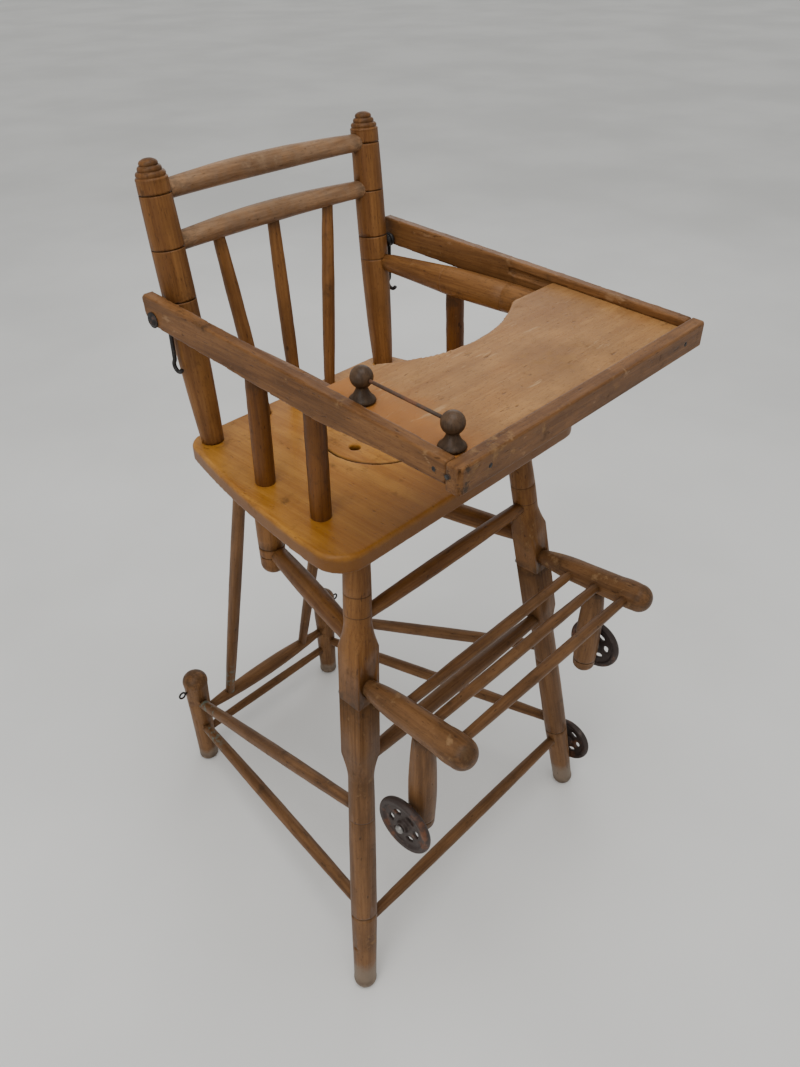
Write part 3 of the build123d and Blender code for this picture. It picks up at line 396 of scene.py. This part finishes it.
# %% Rod tree
class Tree:
    """A Geometry Nodes tree with named inputs."""

    def __init__(self, name, inputs):
        self.group = bpy.data.node_groups.new(name, "GeometryNodeTree")
        self.identifiers = {}
        for label, kind in inputs.items():
            socket = self.group.interface.new_socket(label, in_out="INPUT", socket_type=kind)
            self.identifiers[label] = socket.identifier
        self.group.interface.new_socket("Geometry", in_out="OUTPUT", socket_type="NodeSocketGeometry")
        self.entry = self.group.nodes.new("NodeGroupInput")

    def given(self, label):
        """The socket that carries a named input."""
        return self.entry.outputs[label]

    def node(self, kind, settings=None, inputs=None):
        """Make one node and give back its first output: settings first, then its sockets."""
        made = self.group.nodes.new(kind)
        for key, value in (settings or {}).items():
            setattr(made, key, value)
        for key, value in (inputs or {}).items():
            if isinstance(value, bpy.types.NodeSocket):
                self.group.links.new(value, made.inputs[key])
            else:
                made.inputs[key].default_value = value
        return made.outputs[0]

    def maths(self, operation, first, second=0.0):
        """One Math node."""
        return self.node("ShaderNodeMath", {"operation": operation}, {0: first, 1: second})

    def close(self, geometry):
        """End the tree in real geometry that has its material."""
        real = self.node("GeometryNodeRealizeInstances", {}, {"Geometry": geometry})
        inputs = {"Geometry": real, "Material": self.given("Material")}
        done = self.node("GeometryNodeSetMaterial", {}, inputs)
        exit_node = self.group.nodes.new("NodeGroupOutput")
        self.group.links.new(done, exit_node.inputs["Geometry"])

    def grow(self, name, values):
        """Run the tree once and give back a plain mesh."""
        seed = bpy.data.objects.new(name + "_tree", bpy.data.meshes.new(name + "_seed"))
        scene.collection.objects.link(seed)
        modifier = seed.modifiers.new("tree", "NODES")
        modifier.node_group = self.group
        for label, value in values.items():
            modifier[self.identifiers[label]] = value
        bpy.context.view_layer.update()
        mesh = bpy.data.meshes.new_from_object(seed.evaluated_get(bpy.context.evaluated_depsgraph_get()))
        mesh.name = name
        seed.modifiers.clear()
        bpy.data.objects.remove(seed)
        return mesh


rod_tree = Tree("turned rod", {
    "Start": "NodeSocketVector",
    "End": "NodeSocketVector",
    "End Radius": "NodeSocketFloat",
    "Middle Radius": "NodeSocketFloat",
    "Wobble": "NodeSocketFloat",
    "Seed": "NodeSocketFloat",
    "Material": "NodeSocketMaterial",
})
rod_line = rod_tree.node(
    "GeometryNodeCurvePrimitiveLine", {}, {"Start": rod_tree.given("Start"), "End": rod_tree.given("End")}
)
rod_line = rod_tree.node("GeometryNodeResampleCurve", {}, {"Curve": rod_line, "Count": 90})
rod_factor = rod_tree.node("GeometryNodeSplineParameter")
from_middle = rod_tree.maths("MULTIPLY_ADD", rod_factor, 2.0)
from_middle.node.inputs[2].default_value = -1.0
swell = rod_tree.maths("SUBTRACT", 1.0, rod_tree.maths("POWER", rod_tree.maths("ABSOLUTE", from_middle), 2.0))
gain = rod_tree.maths("SUBTRACT", rod_tree.given("Middle Radius"), rod_tree.given("End Radius"))
rod_radius = rod_tree.maths("ADD", rod_tree.given("End Radius"), rod_tree.maths("MULTIPLY", swell, gain))
wander = rod_tree.node(
    "ShaderNodeTexNoise",
    {"noise_dimensions": "1D"},
    {"W": rod_tree.maths("ADD", rod_factor, rod_tree.given("Seed")), "Scale": 9.0, "Detail": 2.0},
)
wander = rod_tree.maths("MULTIPLY", rod_tree.maths("SUBTRACT", wander, 0.5), rod_tree.given("Wobble"))
rod_radius = rod_tree.maths("ADD", rod_radius, wander)
rod_section = rod_tree.node("GeometryNodeCurvePrimitiveCircle", {}, {"Resolution": 36, "Radius": 1.0})
rod_body = rod_tree.node(
    "GeometryNodeCurveToMesh",
    {},
    {"Curve": rod_line, "Profile Curve": rod_section, "Scale": rod_radius, "Fill Caps": True},
)
rod_tree.close(rod_tree.node("GeometryNodeSetShadeSmooth", {}, {0: rod_body}))
print("rod tree nodes:", len(rod_tree.group.nodes))

# %% [markdown]
# A finished piece has to be linked into the scene, ride on the body that its CAD node rides on, and hide
# the node. Three calls do it, and they are always the same, so they are one helper.


# %% Placing pieces
def place(name, mesh, *replaced):
    """Put a finished mesh in the scene in place of CAD nodes."""
    piece = bpy.data.objects.new(name, mesh)
    scene.collection.objects.link(piece)
    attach(piece, body_of[replaced[0]])
    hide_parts(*replaced)


def joined(name, meshes):
    """Several meshes as one, with the first one's material."""
    shape = bmesh.new()
    for mesh in meshes:
        shape.from_mesh(mesh)
    whole = as_mesh(shape, name)
    whole.materials.append(meshes[0].materials[0])
    for polygon in whole.polygons:
        polygon.use_smooth = len(polygon.vertices) < 5
    return whole


SIDES = ("left", "right")
ROD_NODES = {"upper_front_stretcher": "frame", "footrest_rods": "lower", "lower_cross_bar": "lower"}
ROD_NODES.update({"lower_front_stretcher": "lower", "rear_rod": "lower"})
ROD_NODES.update({f"back_spindle_{place_name}": "frame" for place_name in ("left", "centre", "right")})
for side in SIDES:
    ROD_NODES.update({f"upper_side_stretcher_{side}": "frame", f"prop_{side}": "lower"})
    ROD_NODES.update({f"side_stretcher_{level}_{side}": "lower" for level in ("upper", "lower")})
    ROD_NODES[f"arm_spindles_{side}"] = "spindle"


END_SPAN = 0.004
ROD_WOBBLE = 0.0006
PAINTED_RODS = ("side_stretcher_upper_right", "side_stretcher_lower_right", "prop_right")


def paint_left(finish, here, colour):
    """Flakes of old blue-green paint that are left near the rear end of a stretcher."""
    flakes = finish.step(finish.noise(here, 120, 4, 0.7), 0.52, 0.60)
    rear = finish.step(finish.part(here, "Y"), 0.175, 0.235)
    low = 1 - finish.step(finish.part(here, "Z"), 0.14, 0.20)
    return finish.mix(flakes * (rear * low) * 0.60, colour, (0.115, 0.175, 0.150))


def make_rods(node, tone):
    """Turn a node's rods again with the rod tree."""
    meshes = []
    finish = None
    for number, places in enumerate(loose_parts(node)):
        start, direction, length = turning_axis(places)
        if finish is None:
            extra = paint_left if node in PAINTED_RODS else None
            history = dict(worn=0.35, dirty=0.45, extra=extra)
            finish = old_wood(f"{node}_wood", tone, start, direction, length, **history)
        spans = [(-1, END_SPAN), (length - END_SPAN, length + 1), (length * 0.4, length * 0.6)]
        foot, head, middle = (radius_near(places, start, direction, low, high) for low, high in spans)
        ends = max(foot, head)
        values = {"Start": start, "End": start + direction * length, "End Radius": ends}
        values.update({"Middle Radius": max(middle, ends), "Wobble": ROD_WOBBLE, "Material": finish})
        values["Seed"] = float(len(node) + 7 * number)
        meshes.append(rod_tree.grow(f"{node}_{number}", values))
    place(f"{node}_turned", joined(f"{node}_turned", meshes), node)


for node, tone in ROD_NODES.items():
    make_rods(node, tone)
print("rods turned:", len(ROD_NODES))

# %% [markdown]
# ## Turned pieces with a profile
# Posts, legs, arms and feet have a profile that is already right in the CAD piece. What it lacks is a
# soft surface: its triangles are loose and its facets show. A copy is welded, and its normals are
# smoothed except at real edges. A slow noise moves every vertex by a fraction of a millimetre, in place
# of the wobble of a hand-held gouge.

# %% Turned pieces
WOBBLE = 0.00022
WOBBLE_SCALE = 28
WOBBLE_SEED = 5
SHARP = math.radians(34)
noise.seed_set(WOBBLE_SEED)


def softened(node, name, finish, wobble=WOBBLE):
    """A merged and slightly uneven copy of a CAD piece."""
    shape = merged(node)
    for vertex in shape.verts:
        vertex.co += Vector(noise.noise_vector(vertex.co * WOBBLE_SCALE)) * wobble
    mesh = as_mesh(shape, name)
    mesh.materials.append(finish)
    for polygon in mesh.polygons:
        polygon.use_smooth = True
    mesh.set_sharp_from_angle(angle=SHARP)
    place(name, mesh, node)


def along_axis(start, direction, height):
    """The station on an axis where it passes a height."""
    return (height - start.z) / direction.z


TURNED = {"prop_rear_bar": ("lower", 0.35, 0.4), "prop_top_bar": ("lower", 0.4, 0.4)}
for side in SIDES:
    TURNED[f"back_post_{side}"] = ("frame", 0.30, 0.35)
    TURNED[f"arm_{side}"] = ("frame", 0.45, 0.40)
    TURNED[f"rear_stub_{side}"] = ("frame", 0.30, 0.40)
    TURNED[f"upper_front_leg_{side}"] = ("frame", 0.40, 0.45)
    TURNED[f"lower_front_leg_{side}"] = ("lower", 0.45, 0.45)
    TURNED[f"rear_foot_post_{side}"] = ("lower", 0.35, 0.55)
    TURNED[f"footrest_arm_{side}"] = ("lower", 0.60, 0.45)
    TURNED[f"wheel_leg_{side}"] = ("lower", 0.40, 0.50)
for level in ("upper", "lower"):
    TURNED[f"crest_rail_{level}"] = ("crest", 0.45, 0.30)

RING_HEIGHTS = {
    "back_post": (0.7898, 0.8162, 0.8677, 0.9185),
    "rear_stub": (0.492, 0.505),
    "upper_front_leg": (0.546, 0.570),
    "lower_front_leg": (0.124, 0.275),
    "wheel_leg_left": (0.335,),
    "wheel_leg_right": (0.327,),
}
FEET = {"lower_front_leg": 0.045, "rear_foot_post": 0.022}

for node, (tone, worn, dirty) in TURNED.items():
    kind = node.rsplit("_", 1)[0]
    start, direction, length = turning_axis(loose_parts(node)[0])
    heights = RING_HEIGHTS.get(node, RING_HEIGHTS.get(kind, ()))
    rings = [along_axis(start, direction, height) for height in heights]
    finish = old_wood(
        f"{node}_wood",
        tone,
        start,
        direction,
        length,
        worn=worn,
        dirty=dirty,
        greyed=0.25 if tone == "crest" else 0.0,
        rings=rings,
        grey_foot=FEET.get(kind, 0.0),
    )
    softened(node, f"{node}_turned", finish)
print("turned pieces:", len(TURNED))

# %% [markdown]
# ## Boards
# The seat, its lid, the tray board and the tray's rails are sawn and planed, so their character is in
# their edges: rounded by hands, and chipped where things struck them. A voxel remesh gives such a board
# an even skin of small faces. Then every vertex whose normal points between two faces of the board is
# on an edge, and a noise decides how far it is worn away.

# %% Boards
EVEN = 0.86
EDGE_BAND = 0.15
CHIP_SCALE, NICK_SCALE = 95, 260


def remeshed(node, name, finish, voxel, rounds):
    """A copy of a CAD piece in small even faces, smoothed a few rounds."""
    worker = bpy.data.objects.new(name + "_worker", as_mesh(merged(node), name))
    scene.collection.objects.link(worker)
    remesh = worker.modifiers.new("remesh", "REMESH")
    remesh.mode = "VOXEL"
    remesh.voxel_size = voxel
    smooth = worker.modifiers.new("smooth", "SMOOTH")
    smooth.factor = 0.5
    smooth.iterations = rounds
    bpy.context.view_layer.update()
    skin = bpy.data.meshes.new_from_object(worker.evaluated_get(bpy.context.evaluated_depsgraph_get()))
    skin.name = name
    bpy.data.objects.remove(worker)
    skin.materials.clear()
    skin.materials.append(finish)
    for polygon in skin.polygons:
        polygon.use_smooth = True
        polygon.material_index = 0
    return skin


def worn_board(node, name, finish, voxel, bite):
    """A remeshed copy of a board whose edges are rounded and chipped."""
    skin = remeshed(node, name, finish, voxel, 2)
    count = len(skin.vertices)
    places = np.empty(count * 3)
    skin.vertices.foreach_get("co", places)
    places = places.reshape(-1, 3)
    normals = np.array([vertex.normal[:] for vertex in skin.vertices])
    edge = np.clip((EVEN - np.abs(normals).max(axis=1)) / EDGE_BAND, 0, 1)
    chips = np.zeros(count)
    for index in np.nonzero(edge > 0)[0]:
        spot = Vector(places[index])
        chip = max(0.0, noise.noise(spot * CHIP_SCALE) - 0.12)
        nick = max(0.0, noise.noise(spot * NICK_SCALE) - 0.1)
        chips[index] = 0.15 + 2.2 * (chip + 0.5 * nick)
    places -= normals * (edge * chips * bite)[:, None]
    skin.vertices.foreach_set("co", places.ravel())
    print(name, "faces", len(skin.polygons))
    place(name, skin, node)


# %% [markdown]
# Each board adds its own marks to the common history of the wood. The seat has painted shade on its
# moulded edge and underside, and a painted shadow where the tray keeps the light off it, and dirt has
# settled in the seam round the lid. The tray is cloudy, with orange varnish left beside the bead posts.
# The rails are knocked, and their front corner on the child's right is battered round its rusted nails.
# A mark is always a mask between 0 and 1, made from a distance or a noise, that mixes a colour in.

# %% Marks on the boards
X_AXIS, Y_AXIS = Vector((1, 0, 0)), Vector((0, 1, 0))
SEAT_TOP = 0.6560
LID_CENTRE_Y = -0.004
LID_SEAM = 0.0645
RAIL_INNER_X = 0.178
BOARD_FRONT_Y = -0.260


def seat_shade_and_dirt(finish, here, colour):
    """Painted shade on the edge and underside, the tray's painted shadow, and dirt worked into the lid's
    seam.
    """
    # Painted shade: the moulded edge darkens downwards, and everything below it is dark, with a ragged
    # border.
    uneven = (finish.noise(here, 60, 4, 0.6) - 0.5) * 0.006
    under = 1 - finish.step(finish.part(here, "Z") + uneven, SEAT_TOP - 0.0075, SEAT_TOP)
    colour = finish.mix(under * 0.80, colour, (0.105, 0.036, 0.005))
    # Painted shadow of the tray, darkening the front of the seat.
    shaded = 1 - finish.step(finish.part(here, "Y"), -0.150, -0.040)
    colour = finish.mix(shaded * 0.50, colour, (0.150, 0.056, 0.007))
    x, y = finish.part(here, "X"), finish.part(here, "Y") - LID_CENTRE_Y
    away = finish.node("ShaderNodeMath", {"operation": "SQRT"}, {0: x * x + y * y})
    seam = 1 - finish.step(abs(away - LID_SEAM), 0.0004, 0.0030)
    return finish.mix(seam * 0.75, colour, DIRT)


def tray_paint(finish, here, colour):
    """A stained and cloudy board, with orange varnish that has survived near the bead posts."""
    lines = finish.step(finish.noise(finish.stretched(here, (7, 210, 210)), 1.0, 4, 0.65), 0.54, 0.72)
    colour = finish.mix(lines * 0.25, colour, (0.17, 0.078, 0.028))
    clouds = finish.step(finish.noise(here, 15, 5, 0.6), 0.38, 0.64)
    colour = finish.mix(clouds * 0.45, colour, (0.225, 0.115, 0.046))
    patch = finish.noise(here, 26, 5, 0.7)
    from_side = finish.part(here, "X") + RAIL_INNER_X
    kept = 1 - finish.step(from_side + (patch - 0.5) * 0.10, 0.020, 0.075)
    colour = finish.mix(kept * 0.80, colour, (0.38, 0.140, 0.026))
    edge = 1 - finish.step(finish.part(here, "Y") - BOARD_FRONT_Y + (patch - 0.5) * 0.01, 0.001, 0.010)
    colour = finish.mix(edge * 0.45, colour, (0.12, 0.055, 0.022))
    scuffs = finish.step(finish.noise(finish.stretched(here, (20, 110, 60)), 1.0, 4, 0.7), 0.60, 0.70)
    colour = finish.mix(scuffs * 0.35, colour, (0.56, 0.37, 0.19))
    stain = finish.step(finish.noise(here, 9, 3), 0.52, 0.68)
    return finish.mix(stain * 0.25, colour, (0.19, 0.085, 0.032))


BATTERED = (
    ((-0.1865, -0.2620, 0.7975), 0.0080),
    ((-0.1800, -0.2760, 0.7905), 0.0065),
    ((-0.1862, -0.2480, 0.7985), 0.0045),
    ((-0.1775, -0.2755, 0.8060), 0.0050),
)


def near_spot(finish, here, centre, reach):
    """1 close to a point and 0 beyond a reach, with a ragged border."""
    apart = finish.node("ShaderNodeVectorMath", {"operation": "DISTANCE"}, {0: here, 1: centre}, "Value")
    ragged = apart + (finish.noise(here, 230, 5, 0.75) - 0.5) * (reach * 3.2)
    return 1 - finish.step(ragged, reach * 0.35, reach * 0.75)


def rail_paint(finish, here, colour):
    """Pale knocks, a battered front corner, and dark stains where nails have rusted."""
    patch = finish.step(finish.noise(finish.stretched(here, (60, 22, 60)), 1.0, 5, 0.7), 0.62, 0.68)
    colour = finish.mix(patch * 0.45, colour, (0.36, 0.215, 0.105))
    streak = finish.step(finish.noise(finish.stretched(here, (30, 9, 160)), 1.0, 4, 0.6), 0.50, 0.62)
    colour = finish.mix(streak * 0.35, colour, (0.085, 0.036, 0.012))
    for centre, reach in BATTERED:
        colour = finish.mix(near_spot(finish, here, centre, reach) * 0.85, colour, DIRT)
    return colour


def board_wood(name, tone, grain, worn, dirty, extra=None):
    """Wood for a flat piece, whose pattern starts far outside it so that no end shows."""
    return old_wood(name, tone, Vector(grain) * -1.0, Vector(grain), 2.0, extra=extra, worn=worn, dirty=dirty)


seat_wood = board_wood("seat_wood", "seat", Y_AXIS, 0.30, 0.30, seat_shade_and_dirt)
worn_board("seat_board", "seat_board_worn", seat_wood, 0.0019, 0.0010)
lid_wood = board_wood("lid_wood", "seat", Y_AXIS, 0.35, 0.35, seat_shade_and_dirt)
worn_board("seat_lid", "seat_lid_worn", lid_wood, 0.0012, 0.0005)
cleat_wood = board_wood("cleat_wood", "lower", X_AXIS, 0.2, 0.4)
worn_board("lid_cleats", "lid_cleats_worn", cleat_wood, 0.0015, 0.0006)
tray_wood = board_wood("tray_wood", "tray", X_AXIS, 0.55, 0.25, tray_paint)
worn_board("tray_board", "tray_board_worn", tray_wood, 0.0017, 0.0010)
front_wood = board_wood("front_rail_wood", "rail", X_AXIS, 0.60, 0.50, rail_paint)
worn_board("tray_front_rail", "tray_front_rail_worn", front_wood, 0.0011, 0.0022)
for side in SIDES:
    rail_wood = board_wood(f"tray_rail_{side}_wood", "rail", Y_AXIS, 0.50, 0.50, rail_paint)
    worn_board(f"tray_rail_{side}", f"tray_rail_{side}_worn", rail_wood, 0.0012, 0.0014)

# %% [markdown]
# ## Bead posts
# Two little turned knobs once carried a string of beads. The wire is still there, and the beads are not.
# Their wood is darker and glossier than the tray, because nobody ever scraped it.

# %% Bead posts
bead_places = loose_parts("bead_posts")
bead_start = turning_axis(bead_places[0])[0]
bead_wood = old_wood("bead_wood", "bead", bead_start, Vector((0, 0, 1)), 1.0, worn=0.2, dirty=0.6)
softened("bead_posts", "bead_posts_turned", bead_wood, 0.00015)

# %% [markdown]
# ## Iron and steel
# The wheels are cast iron under old paint, the hooks, eyes, nails and tray bolts are black iron, the
# hinges and axle screws are dull grey steel, and the bead wire is rusty. They all come from one function
# with different base colours, because they differ only in how much metal shows through.

# %% Metal finish
RUST = (0.165, 0.060, 0.022)


def old_metal(name, base, bright, metallic, roughness, rust, relief=0.00012):
    """Metal with patches of rust, worn brighter in places."""
    finish = Finish(name)
    here = finish.object_place()
    pits = finish.noise(here, 700, 3, 0.6)
    cloud = finish.noise(here, 85, 5, 0.65)
    broad = finish.noise(here, 30, 3)
    rubbed = finish.step(cloud, 0.55, 0.70)
    colour = finish.mix(rubbed * 0.6, base, bright)
    rusty = finish.step(cloud * 0.45 + broad * 0.55, 0.60 - 0.14 * rust, 0.72 - 0.10 * rust)
    colour = finish.mix(rusty * 0.8, colour, RUST)
    colour = finish.mix(finish.step(pits, 0.60, 0.72) * 0.5, colour, [c * 0.4 for c in base])
    shine = roughness + rusty * 0.25 - rubbed * 0.10 + pits * 0.10
    metal = (1 - rusty * 0.8) * metallic
    return finish.surface(colour, shine, pits * 0.6 + cloud * 0.6, relief, metallic=metal)


cast_finish = old_metal("cast_wheel", (0.040, 0.026, 0.022), (0.110, 0.085, 0.075), 0.35, 0.48, 0.5, 0.00030)
iron_finish = old_metal("black_iron", (0.030, 0.028, 0.028), (0.10, 0.095, 0.09), 0.65, 0.45, 0.35)
steel_finish = old_metal("dull_steel", (0.26, 0.25, 0.24), (0.48, 0.47, 0.45), 0.85, 0.40, 0.5)
wire_finish = old_metal("rusty_wire", (0.085, 0.060, 0.045), (0.19, 0.15, 0.12), 0.60, 0.50, 0.9)

# %% [markdown]
# ## Wheels
# A cast wheel has no sharp edge anywhere: the iron shrank into soft corners as it cooled. A fine voxel
# remesh followed by a little smoothing does the same to the CAD wheel, and the bore stays round.


# %% Wheels
CAST_VOXEL = 0.0007
for node in ("wheel_front_left", "wheel_front_right", "wheel_rear_left"):
    name = f"{node}_cast"
    place(name, remeshed(node, name, cast_finish, CAST_VOXEL, 3), node)

# %% [markdown]
# ## Hooks, eyes, bolts and hinges
# These are small, and their CAD shapes are right. They keep them, smoothed, and take the metal finishes.

# %% Small metal
for node in ("hook_left", "hook_right", "screw_eyes", "tray_nails", "tray_bolts"):
    softened(node, f"{node}_iron", iron_finish, 0.0)
for node in ("upper_hinge_leaves", "lower_hinge_leaves", "front_axle_screws", "rear_axle_screw"):
    softened(node, f"{node}_steel", steel_finish, 0.0)
softened("bead_wire", "bead_wire_rusty", wire_finish, 0.0)
